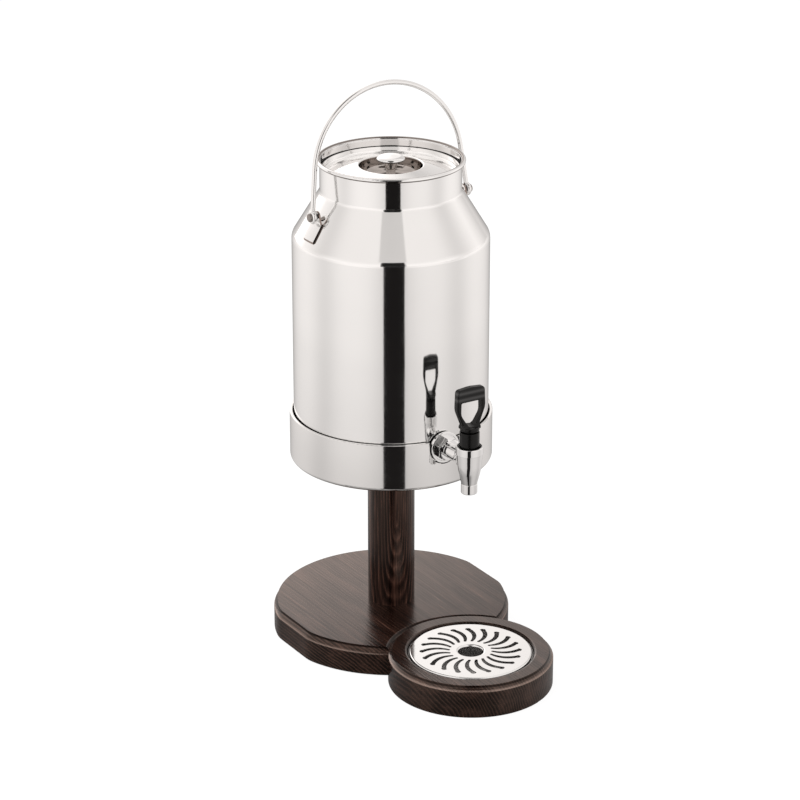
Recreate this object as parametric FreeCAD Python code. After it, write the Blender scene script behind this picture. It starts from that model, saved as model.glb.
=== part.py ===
"""Milk-churn tap dispenser on a wooden stand with a drip tray.

Millimetres, +Z up. The origin is on the column's axis, on the table.
The tap and the drip tray are at the front, towards -Y. The bail turns about X.
"""
import FreeCAD
import Part
import math
import os

# Fits
touch_gap = 0.1           # glued, pressed or screwed pieces of one assembly, on the radius
running_gap = 0.08        # a pin in its eye, on the radius
slide_gap = 0.5           # pieces that are lifted past each other
same_point = 1e-6         # points closer than this are one point
on_face = 1e-4            # a point closer than this to a face lies on it

# Boards
mould_hollow = 0.12       # depth of a moulding's hollow, as a share of its chord
mould_arris = 1.2         # round between a moulding and the side below it
mould_spare = 2.0         # how far the cutter of a moulding stands out of the board

# Base board
base_radius = 123.5
base_flat_half = 119.7    # half the width across the two side flats
base_corner = 40.0        # round between a flat and the curved ends
base_thick = 32.2
base_mould_in = 3.5       # hollow moulding along the top edge
base_mould_down = 7.5
base_foot_round = 3.0

# Tray board
tray_reach = 154.7        # column axis to tray centre
tray_radius = 83.8
tray_thick = 34.0
tray_mould_in = 4.5
tray_mould_down = 5.0
tray_foot_round = 1.5
tray_lip_round = 2.5
recess_radius = 64.2
recess_depth = 22.0
dock_chamfer = 3.0        # bevel of the base board along the tray board

# Plate and screws that join the two boards from below
plate_width = 60.0
plate_length = 70.0
plate_thick = 3.0
plate_sink = 0.3          # below the underside of the boards
screw_across = 36.0       # between the two screws in a row
screw_from_joint = 11.0
screw_radius = 2.0
screw_length = 18.0
screw_head_radius = 4.0
screw_head_thick = 1.8

# Column and the rod inside it
column_radius = 24.4
column_length = 163.7
column_edge_round = 0.8
rod_radius = 4.0
rod_gap = 0.4
rod_end_spare = 1.5       # thread that stands out of each nut
nut_across = 13.0
nut_height = 6.5
washer_radius = 12.0
washer_thick = 2.0
counterbore_radius = 14.0
counterbore_depth = 12.0
clamp_radius = 36.0
clamp_thick = 3.0

# Holder cup
cup_radius = 104.3
cup_wall = 1.2
cup_height = 50.4
cup_corner = 4.0
cup_rim_round = 0.45
cup_hem = 1.7             # rim folded inwards
cup_hem_height = 4.0
cup_notch_gap = 1.2       # notch round the tap's flange, open at the rim

# Can
can_radius = 100.0
can_wall = 1.0
can_body_height = 237.7   # foot to the shoulder's edge
shoulder_height = 46.8
shoulder_round = 12.0
neck_radius = 71.4
neck_root_round = 7.0
neck_height = 30.7        # shoulder to the middle of the rim bead
bead_radius = 2.2
bead_out = 1.5            # middle of the bead, outside the neck
floor_lift = 17.0         # foot to the underside of the can's floor
floor_flange = 10.0
floor_corner = 3.0

# Bail, its ears and its pins
pivot_rise = 32.2         # above the shoulder's edge
bail_wire = 5.0
bail_arch_radius = 85.5   # middle of the wire
bail_arch_rise = 36.3     # pivot up to the arch's centre
bail_eye = 14.0           # outside diameter
bail_lean = 5.6           # degrees backwards at rest
bail_ear_gap = 1.6        # eye to ear; the leg leans in above the eye
bail_head_gap = 0.3       # eye to the pin's head
ear_width = 18.5
ear_tab_width = 11.6       # at the pivot
ear_thick = 1.8
ear_foot = 25.0           # how far the ear lies down the shoulder, below the pivot
ear_top = 5.6             # tab above the pivot
ear_corner = 5.4
ear_bevel = 2.4           # along the foot's lower end
ear_stand_off = 4.2       # cone to the inside of the tab, at the pivot
pin_neck_radius = 1.4
pin_tail_radius = 2.8
pin_tail_thick = 0.9
pin_head_radius = 4.4
pin_head_thick = 2.3
pin_head_round = 1.9

# Lid
lid_sheet = 1.0
lid_top_drop = 7.3        # rim bead's middle down to the lid's upturned edge
lid_edge_height = 6.0
lid_crown = 8.5           # plate's outer edge up to the edge of the finger recess
lid_recess_radius = 32.0
lid_recess_floor = 30.0
lid_recess_depth = 17.5
lid_edge_bend = 2.0       # inside bend at the upturned edge
lid_brow_bend = 0.5       # inside bend at the recess's edge
lid_floor_bend = 10.0     # inside bend at the recess's floor
seal_thick = 1.5
seal_height = 4.5
seal_gap = 0.3
seal_round = 0.6
knob_radius = 15.3
knob_above_recess = 9.3   # top of the knob over the recess's edge
knob_cap_thick = 6.9
knob_rim_rise = 2.2       # cap's underside up to its widest part
knob_rim_round = 1.6
knob_crown_radius = 12.4
knob_crown_drop = 0.9
knob_crown_round = 6.0
knob_flank_radius = 8.2   # where the trumpet-shaped stem meets the cap's underside
knob_flank_round = 6.0
knob_stem_radius = 4.8
knob_stem_round = 6.0
knob_stem_drop = 6.5      # cap's underside down to the straight part of the stem
knob_foot_radius = 8.0
knob_foot_height = 6.0
knob_foot_edge = 0.6
knob_foot_sweep = 6.0
knob_screw_radius = 2.0
knob_screw_depth = 14.0
knob_screw_head = 4.0
knob_screw_head_thick = 2.4
knob_screw_head_round = 1.2
knob_washer_radius = 6.0
knob_washer_thick = 1.0

# Tap: what passes through the wall
tap_rise = 41.4           # can's foot to the shank's axis
tap_reach = 149.0         # can axis to the tap's upright axis
shank_radius = 8.0
shank_bore = 4.5
shank_inside = 12.0       # past the can's inner wall
shank_end_round = 1.0
spigot_radius = 5.9
spigot_length = 8.0
hex_across = 21.0
hex_length = 9.0
hex_turn = 40.0           # degrees
hex_chamfer = 0.9         # of the corners, at the front
flange_radius = 16.2
flange_thick = 3.0
flange_rim_width = 2.6
flange_rim_rise = 0.6     # raised rim, in front of the hexagon's seat
flange_round = 0.5
outer_washer_radius = 13.0
outer_washer_thick = 1.5
inner_washer_radius = 12.0
inner_washer_thick = 2.5
lock_nut_across = 24.0
lock_nut_thick = 6.0

# Tap: the upright body
spout_drop = 32.7         # shank axis down to the spout's mouth
spout_length = 10.2
spout_radius = 8.2
spout_bore = 5.8
spout_lip_round = 0.8
body_low_radius = 7.9
body_waist_radius = 11.8
body_waist_rise = 15.5    # spout's top up to the bend of the body
body_waist_round = 60.0
body_top_radius = 13.2
body_top_rise = 9.75      # shank axis up to the collar
collar_radius = 14.0
collar_height = 7.7
collar_wall = 1.6
collar_depth = 5.2        # open cup inside the collar
tap_step_round = 0.3
tap_edge_round = 0.6
seat_drop = 14.9          # shank axis down to the valve seat
chamber_radius = 7.9
thread_radius = 10.6
stub_radius = 7.6
stub_root_radius = 10.0
stub_root_length = 9.0

# Tap: bonnet, stem, plug and spring
bonnet_radius = 10.0
bonnet_rise = 33.0        # shank axis up to the bonnet's top
bonnet_flange_radius = 12.0
bonnet_flange_thick = 1.5
bonnet_thread_length = 4.3
spring_pocket_radius = 6.2
spring_pocket_top = 20.5  # shank axis up to the spring's upper seat
stem_radius = 2.2
stem_top_round = 0.8
stem_top_gap = 0.9        # below the top of the lever's slot
plug_radius = 7.2
plug_height = 10.0
plug_rim_height = 4.0
plug_rim_round = 1.0
stem_in_plug = 5.0
plug_cap_thick = 1.5
plug_cap_radius = 5.9
spring_wire = 0.8
spring_radius = 4.6       # middle of the wire
spring_turns = 7

# Tap: the lever
lever_pin_rise = 2.7      # foot of the lever to its pin
lever_pin_radius = 1.1
lever_pin_inset = 0.5     # inside the lever's foot, at each end
lever_foot_radius = 9.9
lever_foot_height = 5.6
lever_foot_brow = 1.6
lever_toe_round = 3.3
lever_slot_width = 5.2
lever_slot_length = 12.0
lever_slot_height = 5.4
lever_height = 47.5
lever_width = 33.3
lever_taper = 0.8         # how much narrower each side is at the top
lever_neck_width = 19.0
lever_neck_depth = 11.0
lever_neck_sink = 2.0     # neck inside the foot
lever_flare_rise = 7.0    # lever's foot up to where the neck widens
lever_flare_round = 8.0
lever_side_rise = 25.0    # lever's foot up to the widest part
lever_side_round = 18.0
lever_shoulder_round = 4.0
lever_crown_round = 40.0
lever_depth = 7.5
lever_edge_round = 1.8
lever_waist_rise = 6.0    # foot's top up to where the grip is flat
lever_waist_foot = 1.0
lever_top_bar = 14.9
lever_side_bar = 4.7
lever_arch = 1.6          # rise of the top edge
lever_hole_rise = 6.3     # lever's foot up to the finger hole
hole_foot_half = 3.2
hole_foot_round = 3.2
hole_side_rise = 13.5     # finger hole's foot up to its widest part
hole_side_round = 12.0
hole_taper = 0.3
hole_edge_round = 0.8
hole_corner_round = 1.5

# Drip dish and grille
dish_sheet = 0.8
dish_lip_drop = 3.0       # below the tray board's top
dish_floor_radius = 56.0
dish_step_radius = 58.6
dish_step_rise = 16.4     # recess floor up to the step that carries the grille
dish_lip_round = 0.3
dish_floor_bend = 2.0
dish_step_bend = 0.5
grille_radius = 62.3
grille_sheet = 1.0
grille_drop = 0.6         # below the tray board's top
grille_hole_radius = 12.7
grille_hole_flange = 6.0
grille_hole_bend = 1.0
grille_edge_bend = 0.8
slot_count = 20
slot_in = 22.5
slot_out = 49.0
slot_in_width = 3.2
slot_out_width = 6.0
slot_sway = -2.5          # degrees, at mid length
slot_hook = 6.5           # degrees, at the outer end

# Heights that the pieces share
base_top = base_thick
column_top = base_top + column_length
cup_floor = column_top + cup_wall
can_foot = cup_floor
shoulder_z = can_foot + can_body_height
neck_z = shoulder_z + shoulder_height
bead_z = neck_z + neck_height
pivot_z = shoulder_z + pivot_rise
tap_z = can_foot + tap_rise
recess_floor_z = tray_thick - recess_depth
lid_edge_top = bead_z - lid_top_drop
lid_plate_z = lid_edge_top - lid_edge_height
lid_recess_top = lid_plate_z + lid_crown
lid_floor_z = lid_recess_top - lid_recess_depth
spout_mouth_z = tap_z - spout_drop
spout_top_z = spout_mouth_z + spout_length
collar_z = tap_z + body_top_rise
collar_top_z = collar_z + collar_height
collar_floor_z = collar_top_z - collar_depth
seat_z = tap_z - seat_drop
bonnet_top = tap_z + bonnet_rise
spring_top = tap_z + spring_pocket_top
lever_foot_z = bonnet_top
lever_pin_z = lever_foot_z + lever_pin_rise

# Where the two boards meet
joint_y = tray_radius - tray_reach

# Places along the tap's shank, as distances in front of the can's axis
washer_face = can_radius + outer_washer_thick
flange_face = washer_face + flange_thick
hex_face = flange_face + hex_length
inner_washer_face = can_radius - can_wall - inner_washer_thick
lock_nut_face = inner_washer_face - lock_nut_thick
shank_end = can_radius - can_wall - shank_inside

# Cone of the shoulder
shoulder_slope = (can_radius - neck_radius) / shoulder_height
shoulder_turn = math.atan(shoulder_slope)
pivot_cone_radius = can_radius - pivot_rise * shoulder_slope

# Bail along X
ear_inside_x = pivot_cone_radius + ear_stand_off
ear_outside_x = ear_inside_x + ear_thick
bail_x = ear_outside_x + bail_ear_gap + bail_wire / 2
pin_head_x = bail_x + bail_wire / 2 + bail_head_gap
eye_middle_radius = bail_eye / 2 - bail_wire / 2
pin_radius = eye_middle_radius - bail_wire / 2 - running_gap

lever_pin_length = 2 * (lever_foot_radius - lever_pin_inset)

X_AXIS = FreeCAD.Vector(1, 0, 0)
Y_AXIS = FreeCAD.Vector(0, 1, 0)
Z_AXIS = FreeCAD.Vector(0, 0, 1)
ORIGIN = FreeCAD.Vector(0, 0, 0)
FRONT = FreeCAD.Vector(0, -1, 0)
TAP_ORIGIN = FreeCAD.Vector(0, -tap_reach, 0)
TRAY_ORIGIN = FreeCAD.Vector(0, -tray_reach, 0)


def on_xz(u, v):
    return FreeCAD.Vector(u, 0, v)


def on_xy(u, v):
    return FreeCAD.Vector(u, v, 0)


def corner_arc(before, corner, after, radius):
    """Tangent arc of the given radius at a corner: start, middle and end."""
    to_before = (before - corner).normalize()
    to_after = (after - corner).normalize()
    half = to_before.getAngle(to_after) / 2
    reach = radius / math.tan(half)
    inward = (to_before + to_after).normalize()
    middle = corner + inward * (radius / math.sin(half) - radius)
    return corner + to_before * reach, middle, corner + to_after * reach


def rounded_face(points, plane=on_xz):
    """Face inside a closed outline of (u, v) or (u, v, corner radius) points."""
    corners = [plane(p[0], p[1]) for p in points]
    radii = [p[2] if len(p) > 2 else 0 for p in points]
    count = len(points)
    starts = []
    ends = []
    arcs = []
    for i in range(count):
        if radii[i] > 0:
            after = corners[(i + 1) % count]
            start, middle, end = corner_arc(corners[i - 1], corners[i], after, radii[i])
            arcs.append(Part.Arc(start, middle, end).toShape())
        else:
            start = end = corners[i]
            arcs.append(None)
        starts.append(start)
        ends.append(end)
    edges = []
    for i in range(count):
        if arcs[i]:
            edges.append(arcs[i])
        following = starts[(i + 1) % count]
        if ends[i].distanceToPoint(following) > same_point:
            edges.append(Part.makeLine(ends[i], following))
    return Part.Face(Part.Wire(edges))


def turned(points):
    """Solid turned about Z from an outline in the XZ plane."""
    return rounded_face(points).revolve(ORIGIN, Z_AXIS, 360)


def turned_forward(points):
    """Solid turned about the shank's axis: radius, then distance in front of the can's axis."""
    solid = turned(points)
    solid.rotate(ORIGIN, X_AXIS, 90)
    solid.translate(FreeCAD.Vector(0, 0, tap_z))
    return solid


def hollow_arc(reach, top, mould_in, mould_down):
    """Upper end, arc and lower end of a hollow moulding along a board's top edge."""
    high = on_xz(reach - mould_in, top)
    low = on_xz(reach, top - mould_down)
    chord = low - high
    hollow = FreeCAD.Vector(-abs(chord.z), 0, -abs(chord.x)) * mould_hollow
    middle = (high + low) * 0.5 + hollow
    return high, Part.Arc(high, middle, low).toShape(), low


def level_edges(shape, z):
    edges = []
    for edge in shape.Edges:
        box = edge.BoundBox
        if abs(box.ZMin - z) < on_face and abs(box.ZMax - z) < on_face:
            edges.append(edge)
    return edges


def hexagon(across, start, length, turn=0.0):
    """Hexagonal bar along +Z."""
    corner = across / math.sqrt(3)
    points = []
    for i in range(6):
        angle = math.radians(60 * i + turn)
        points.append((corner * math.cos(angle), corner * math.sin(angle)))
    bar = rounded_face(points, on_xy).extrude(Z_AXIS * length)
    bar.translate(Z_AXIS * start)
    return bar


def forward_hexagon(across, start, length, turn=0.0):
    """Hexagonal bar along the tap's shank."""
    bar = hexagon(across, start, length, turn)
    bar.rotate(ORIGIN, X_AXIS, 90)
    bar.translate(FreeCAD.Vector(0, 0, tap_z))
    return bar


def bar_up(radius, low, high, at=ORIGIN):
    return Part.makeCylinder(radius, high - low, at + Z_AXIS * low, Z_AXIS)


def bar_forward(radius, near, far):
    """Round bar along the tap's shank, between two distances in front of the can's axis."""
    return Part.makeCylinder(radius, far - near, FreeCAD.Vector(0, -near, tap_z), FRONT)


def centred_box(width, depth, low, high, at=ORIGIN):
    corner = at + FreeCAD.Vector(-width / 2, -depth / 2, low)
    return Part.makeBox(width, depth, high - low, corner)


def mirrored(shape):
    return shape.mirror(ORIGIN, X_AXIS)


# Stand

def screw_places():
    places = []
    for side in (-0.5, 0.5):
        for step in (-screw_from_joint, screw_from_joint + dock_chamfer):
            places.append(FreeCAD.Vector(side * screw_across, joint_y + step, 0))
    return places


def plate_pocket():
    joint = FreeCAD.Vector(0, joint_y, 0)
    width = plate_width + 2 * touch_gap
    length = plate_length + 2 * touch_gap
    return centred_box(width, length, 0, plate_sink + plate_thick, joint)


def screw_holes():
    top = plate_sink + screw_length
    holes = [bar_up(screw_radius + touch_gap / 2, 0, top, place) for place in screw_places()]
    return holes[0].fuse(holes[1:])


def base_outline():
    """Base board's edge from the middle of its right side: a circle with two flats and rounded corners.

    Flats that lie outside the circle leave it whole."""
    end_reach = base_radius - base_corner
    flat_reach = base_flat_half - base_corner
    if flat_reach >= end_reach:
        return Part.Wire(Part.makeCircle(base_radius, ORIGIN, Z_AXIS))
    turn = math.acos(flat_reach / end_reach)
    corner_y = end_reach * math.sin(turn)
    half_turn = on_xy(math.cos(turn / 2), math.sin(turn / 2))
    side = (base_flat_half, 0)
    flat_end = (base_flat_half, corner_y)
    bend = (flat_reach + half_turn.x * base_corner, corner_y + half_turn.y * base_corner)
    end_start = (base_radius * math.cos(turn), base_radius * math.sin(turn))
    edges = []
    for back in (1, -1):
        right = [on_xy(x, y * back) for x, y in (side, flat_end, bend, end_start)]
        left = [on_xy(-x, y * back) for x, y in (side, flat_end, bend, end_start)]
        around = [
            Part.makeLine(right[0], right[1]),
            Part.Arc(right[1], right[2], right[3]).toShape(),
            Part.Arc(right[3], on_xy(0, base_radius * back), left[3]).toShape(),
            Part.Arc(left[3], left[2], left[1]).toShape(),
            Part.makeLine(left[1], left[0]),
        ]
        edges += around if back > 0 else around[::-1]
    return Part.Wire(edges)


def make_base_board():
    outline = base_outline()
    board = Part.Face(outline).extrude(Z_AXIS * base_thick)
    reach = board.BoundBox.XMax
    high, hollow, low = hollow_arc(reach, base_thick, base_mould_in, base_mould_down)
    outside = reach + mould_spare
    above = base_thick + mould_spare
    corners = [low, on_xz(outside, low.z), on_xz(outside, above), on_xz(high.x, above), high]
    sides = [Part.makeLine(corners[i], corners[i + 1]) for i in range(len(corners) - 1)]
    section = Part.Wire([hollow] + sides)
    board = board.cut(outline.makePipeShell([section], True, False))
    board = board.makeFillet(base_foot_round, level_edges(board, 0))
    board = board.makeFillet(mould_arris, level_edges(board, low.z))
    dock_radius = tray_radius + touch_gap
    dock = bar_up(dock_radius, 0, base_thick, TRAY_ORIGIN)
    bevel = Part.makeCone(dock_radius, dock_radius + dock_chamfer, dock_chamfer,
                          TRAY_ORIGIN + Z_AXIS * (base_thick - dock_chamfer), Z_AXIS)
    rod_hole = bar_up(rod_radius + rod_gap, 0, base_thick)
    counterbore = bar_up(counterbore_radius, 0, counterbore_depth)
    return board.cut([dock, bevel, rod_hole, counterbore, plate_pocket(), screw_holes()]).removeSplitter()


def make_tray_board():
    high, hollow, low = hollow_arc(tray_radius, tray_thick, tray_mould_in, tray_mould_down)
    foot = corner_arc(low, on_xz(tray_radius, 0), ORIGIN, tray_foot_round)
    section = Part.Face(Part.Wire([
        Part.makeLine(on_xz(0, tray_thick), high),
        hollow,
        Part.makeLine(low, foot[0]),
        Part.Arc(*foot).toShape(),
        Part.makeLine(foot[2], ORIGIN),
        Part.makeLine(ORIGIN, on_xz(0, tray_thick)),
    ]))
    board = section.revolve(ORIGIN, Z_AXIS, 360)
    board = board.makeFillet(mould_arris, level_edges(board, low.z))
    mouth = recess_radius + tray_lip_round
    recess = [
        (0, recess_floor_z),
        (recess_radius, recess_floor_z),
        (recess_radius, tray_thick - tray_lip_round),
        (mouth, tray_thick),
        (0, tray_thick),
    ]
    board = board.cut(turned(recess))
    lip_ring = Part.makeTorus(mouth, tray_lip_round, Z_AXIS * (tray_thick - tray_lip_round))
    board = board.fuse(lip_ring)
    board.translate(TRAY_ORIGIN)
    return board.cut([plate_pocket(), screw_holes()]).removeSplitter()


def make_joining_plate():
    joint = FreeCAD.Vector(0, joint_y, 0)
    plate = centred_box(plate_width, plate_length, plate_sink, plate_sink + plate_thick, joint)
    plate = plate.cut(screw_holes())
    sinks = []
    for place in screw_places():
        sinks.append(bar_up(screw_head_radius + touch_gap, 0, plate_sink + screw_head_thick, place))
    return plate.cut(sinks)


def make_joining_screws():
    screws = []
    for place in screw_places():
        outline = [
            (0, plate_sink),
            (screw_head_radius, plate_sink),
            (screw_head_radius, plate_sink + screw_head_thick),
            (screw_radius, plate_sink + screw_head_thick),
            (screw_radius, plate_sink + screw_length - screw_radius),
            (0, plate_sink + screw_length),
        ]
        screw = turned(outline)
        screw.translate(place)
        screws.append(screw)
    return Part.makeCompound(screws)


def make_column():
    outline = [
        (rod_radius + rod_gap, base_top),
        (column_radius, base_top),
        (column_radius, column_top, column_edge_round),
        (rod_radius + rod_gap, column_top),
    ]
    return turned(outline)


def rod_levels():
    """Undersides of the lower and the upper nut."""
    lower = counterbore_depth - washer_thick - nut_height
    upper = cup_floor + clamp_thick
    return lower, upper


def make_tie_rod():
    lower, upper = rod_levels()
    return bar_up(rod_radius, lower - rod_end_spare, upper + nut_height + rod_end_spare)


def make_rod_nuts():
    nuts = []
    for level in rod_levels():
        nut = hexagon(nut_across, level, nut_height)
        nuts.append(nut.cut(bar_up(rod_radius + touch_gap / 2, level, level + nut_height)))
    return Part.makeCompound(nuts)


def make_rod_washer():
    low = counterbore_depth - washer_thick
    washer = bar_up(washer_radius, low, counterbore_depth)
    return washer.cut(bar_up(rod_radius + touch_gap, low, counterbore_depth))


def make_clamp_plate():
    low = cup_floor
    high = cup_floor + clamp_thick
    return bar_up(clamp_radius, low, high).cut(bar_up(rod_radius + touch_gap, low, high))


def make_holder_cup():
    inside = cup_radius - cup_wall
    top = column_top + cup_height
    outline = [
        (rod_radius + rod_gap, column_top),
        (cup_radius, column_top, cup_corner),
        (cup_radius, top, cup_rim_round),
        (inside - cup_hem, top, cup_rim_round),
        (inside - cup_hem, top - cup_hem_height, cup_rim_round),
        (inside, top - cup_hem_height),
        (inside, cup_floor, cup_corner - cup_wall),
        (rod_radius + rod_gap, cup_floor),
    ]
    cup = turned(outline)
    notch_radius = flange_radius + cup_notch_gap
    notch_reach = cup_radius + cup_wall
    round_end = bar_forward(notch_radius, 0, notch_reach)
    opening = centred_box(2 * notch_radius, notch_reach, tap_z, top, FRONT * notch_reach / 2)
    return cup.cut(round_end.fuse(opening))


# Can

def can_outline(inset):
    """Side of the can from its foot to its rim, moved inwards by inset."""
    drop = inset * math.tan(shoulder_turn / 2)
    return [
        (can_radius - inset, can_foot),
        (can_radius - inset, shoulder_z - drop, shoulder_round - inset),
        (neck_radius - inset, neck_z - drop, neck_root_round + inset),
        (neck_radius - inset, bead_z),
    ]


def make_can_shell():
    shell = turned(can_outline(0) + can_outline(can_wall)[::-1])
    bead = Part.makeTorus(neck_radius + bead_out, bead_radius, Z_AXIS * bead_z)
    shell = shell.fuse(bead)
    hole = bar_forward(shank_radius + touch_gap, 0, can_radius + can_wall)
    return shell.cut(hole).removeSplitter()


def make_can_bottom():
    reach = can_radius - can_wall
    low = can_foot + floor_lift
    outline = [
        (0, low),
        (reach - can_wall, low, floor_corner - can_wall),
        (reach - can_wall, low - floor_flange),
        (reach, low - floor_flange),
        (reach, low + can_wall, floor_corner),
        (0, low + can_wall),
    ]
    return turned(outline)


def cone_radius(z):
    """Radius of the shoulder at a height."""
    return can_radius - (z - shoulder_z) * shoulder_slope


def cone_height(radius):
    """Height at which the shoulder has a radius."""
    return shoulder_z + (can_radius - radius) / shoulder_slope


def make_bail_ear():
    """Ear on the +X side: a foot that lies on the shoulder and an upright tab."""
    over = ear_thick / math.cos(shoulder_turn)
    low = pivot_z - ear_foot
    high = cone_height(ear_outside_x - over)
    foot = turned([
        (cone_radius(low), low),
        (cone_radius(low + ear_bevel) + over, low + ear_bevel),
        (cone_radius(high) + over, high),
        (cone_radius(high), high),
    ])
    half = ear_width / 2
    strip = Part.makeBox(can_radius + over, ear_width, ear_foot, FreeCAD.Vector(0, -half, low))
    foot = foot.common(strip)
    tab_low = cone_height(ear_outside_x)
    tab_top = pivot_z + ear_top
    tab_half = ear_tab_width / 2
    tab = rounded_face([
        (-half, tab_low),
        (half, tab_low),
        (tab_half, pivot_z),
        (tab_half, tab_top, ear_corner),
        (-tab_half, tab_top, ear_corner),
        (-tab_half, pivot_z),
    ], lambda u, v: FreeCAD.Vector(ear_inside_x, u, v))
    upright = tab.extrude(X_AXIS * ear_thick)
    core = turned([(0, can_foot)] + can_outline(0) + [(0, bead_z)])
    hole_start = FreeCAD.Vector(ear_inside_x - ear_thick, 0, pivot_z)
    hole = Part.makeCylinder(pin_neck_radius + touch_gap / 2, 3 * ear_thick, hole_start, X_AXIS)
    return foot.fuse(upright).cut([core, hole]).removeSplitter()


def make_bail_pin():
    """Shouldered rivet on the +X side."""
    outline = [
        (0, ear_inside_x - pin_tail_thick),
        (pin_tail_radius, ear_inside_x - pin_tail_thick),
        (pin_tail_radius, ear_inside_x),
        (pin_neck_radius, ear_inside_x),
        (pin_neck_radius, ear_outside_x),
        (pin_radius, ear_outside_x),
        (pin_radius, pin_head_x),
        (pin_head_radius, pin_head_x),
        (pin_head_radius, pin_head_x + pin_head_thick, pin_head_round),
        (0, pin_head_x + pin_head_thick),
    ]
    pin = turned(outline)
    pin.rotate(ORIGIN, Y_AXIS, 90)
    pin.translate(Z_AXIS * pivot_z)
    return pin


def make_bail():
    """Arch with straight legs, tangent to it, that run out to an eye on each side."""
    wire = bail_wire / 2
    centre = Z_AXIS * bail_arch_rise
    eye = X_AXIS * bail_x
    reach = math.hypot(bail_x, bail_arch_rise)
    turn = math.acos(bail_arch_radius / reach) - math.atan2(bail_arch_rise, bail_x)
    arch_end = centre + on_xz(math.cos(turn), math.sin(turn)) * bail_arch_radius
    along = (arch_end - eye).normalize()
    section = Part.Face(Part.Wire(Part.makeCircle(wire, arch_end, along)))
    arch = section.revolve(centre, FRONT, 180 - 2 * math.degrees(turn))
    leg_foot = eye + along * eye_middle_radius
    leg = Part.makeCylinder(wire, leg_foot.distanceToPoint(arch_end), leg_foot, along)
    side = leg.fuse(Part.makeTorus(eye_middle_radius, wire, eye, X_AXIS))
    bail = arch.fuse([side, mirrored(side)]).removeSplitter()
    bail.rotate(ORIGIN, X_AXIS, -bail_lean)
    bail.translate(Z_AXIS * pivot_z)
    return bail


# Lid

def lid_edge_radius():
    """Outside of the lid's upturned edge."""
    return neck_radius - can_wall - seal_gap - seal_thick


def make_lid_pan():
    edge = lid_edge_radius()
    sheet = lid_sheet
    outline = [
        (knob_screw_radius + touch_gap, lid_floor_z),
        (lid_recess_floor, lid_floor_z, lid_floor_bend),
        (lid_recess_radius, lid_recess_top, lid_brow_bend + sheet),
        (edge - sheet, lid_plate_z, lid_edge_bend),
        (edge - sheet, lid_edge_top),
        (edge, lid_edge_top),
        (edge, lid_plate_z - sheet, lid_edge_bend + sheet),
        (lid_recess_radius + sheet, lid_recess_top - sheet, lid_brow_bend),
        (lid_recess_floor + sheet, lid_floor_z - sheet, lid_floor_bend + sheet),
        (knob_screw_radius + touch_gap, lid_floor_z - sheet),
    ]
    return turned(outline)


def make_lid_seal():
    inside = lid_edge_radius()
    low = lid_edge_top - seal_height
    outline = [
        (inside, low),
        (inside + seal_thick, low, seal_round),
        (inside + seal_thick, lid_edge_top, seal_round),
        (inside, lid_edge_top),
    ]
    return turned(outline)


def make_lid_knob():
    top = lid_recess_top + knob_above_recess
    under = top - knob_cap_thick
    outline = [
        (0, lid_floor_z),
        (knob_foot_radius, lid_floor_z, knob_foot_edge),
        (knob_stem_radius, lid_floor_z + knob_foot_height, knob_foot_sweep),
        (knob_stem_radius, under - knob_stem_drop, knob_stem_round),
        (knob_flank_radius, under, knob_flank_round),
        (knob_radius, under + knob_rim_rise, knob_rim_round),
        (knob_crown_radius, top - knob_crown_drop, knob_crown_round),
        (0, top),
    ]
    knob = turned(outline)
    return knob.cut(bar_up(knob_screw_radius, lid_floor_z, lid_floor_z + knob_screw_depth))


def make_knob_screw():
    seat = lid_floor_z - lid_sheet - knob_washer_thick
    outline = [
        (0, seat - knob_screw_head_thick),
        (knob_screw_head, seat - knob_screw_head_thick, knob_screw_head_round),
        (knob_screw_head, seat),
        (knob_screw_radius, seat),
        (knob_screw_radius, lid_floor_z + knob_screw_depth - knob_screw_radius),
        (0, lid_floor_z + knob_screw_depth),
    ]
    return turned(outline)


def make_knob_washer():
    high = lid_floor_z - lid_sheet
    low = high - knob_washer_thick
    washer = bar_up(knob_washer_radius, low, high)
    return washer.cut(bar_up(knob_screw_radius + touch_gap, low, high))


# Tap

def make_tap_flange():
    """Ring against the outer washer, with a raised rim round the hexagon's seat."""
    rim_face = flange_face + flange_rim_rise
    outline = [
        (shank_radius + touch_gap, washer_face),
        (flange_radius, washer_face, flange_round),
        (flange_radius, rim_face, flange_round),
        (flange_radius - flange_rim_width, rim_face, flange_round),
        (flange_radius - flange_rim_width, flange_face),
        (shank_radius + touch_gap, flange_face),
    ]
    return turned_forward(outline)


def make_outer_washer():
    washer = bar_forward(outer_washer_radius, can_radius - outer_washer_radius, washer_face)
    washer = washer.cut(bar_up(can_radius, 0, bead_z))
    return washer.cut(bar_forward(shank_radius + touch_gap, 0, washer_face))


def make_inner_washer():
    washer = bar_forward(inner_washer_radius, inner_washer_face, can_radius)
    washer = washer.common(bar_up(can_radius - can_wall, can_foot, shoulder_z))
    return washer.cut(bar_forward(shank_radius + touch_gap, 0, can_radius))


def make_lock_nut():
    nut = forward_hexagon(lock_nut_across, lock_nut_face, lock_nut_thick)
    return nut.cut(bar_forward(shank_radius + touch_gap / 2, lock_nut_face, inner_washer_face))


def make_tap_shank():
    outline = [
        (shank_bore, shank_end),
        (shank_radius, shank_end, shank_end_round),
        (shank_radius, flange_face),
        (spigot_radius, flange_face),
        (spigot_radius, hex_face + spigot_length),
        (shank_bore, hex_face + spigot_length),
    ]
    tube = turned_forward(outline)
    collar = forward_hexagon(hex_across, flange_face, hex_length, hex_turn)
    corner = hex_across / math.sqrt(3)
    collar = collar.common(turned_forward([
        (spigot_radius, flange_face),
        (corner, flange_face),
        (corner, hex_face - hex_chamfer),
        (corner - 2 * hex_chamfer, hex_face),
        (spigot_radius, hex_face),
    ]))
    return tube.fuse(collar).removeSplitter()


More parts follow.
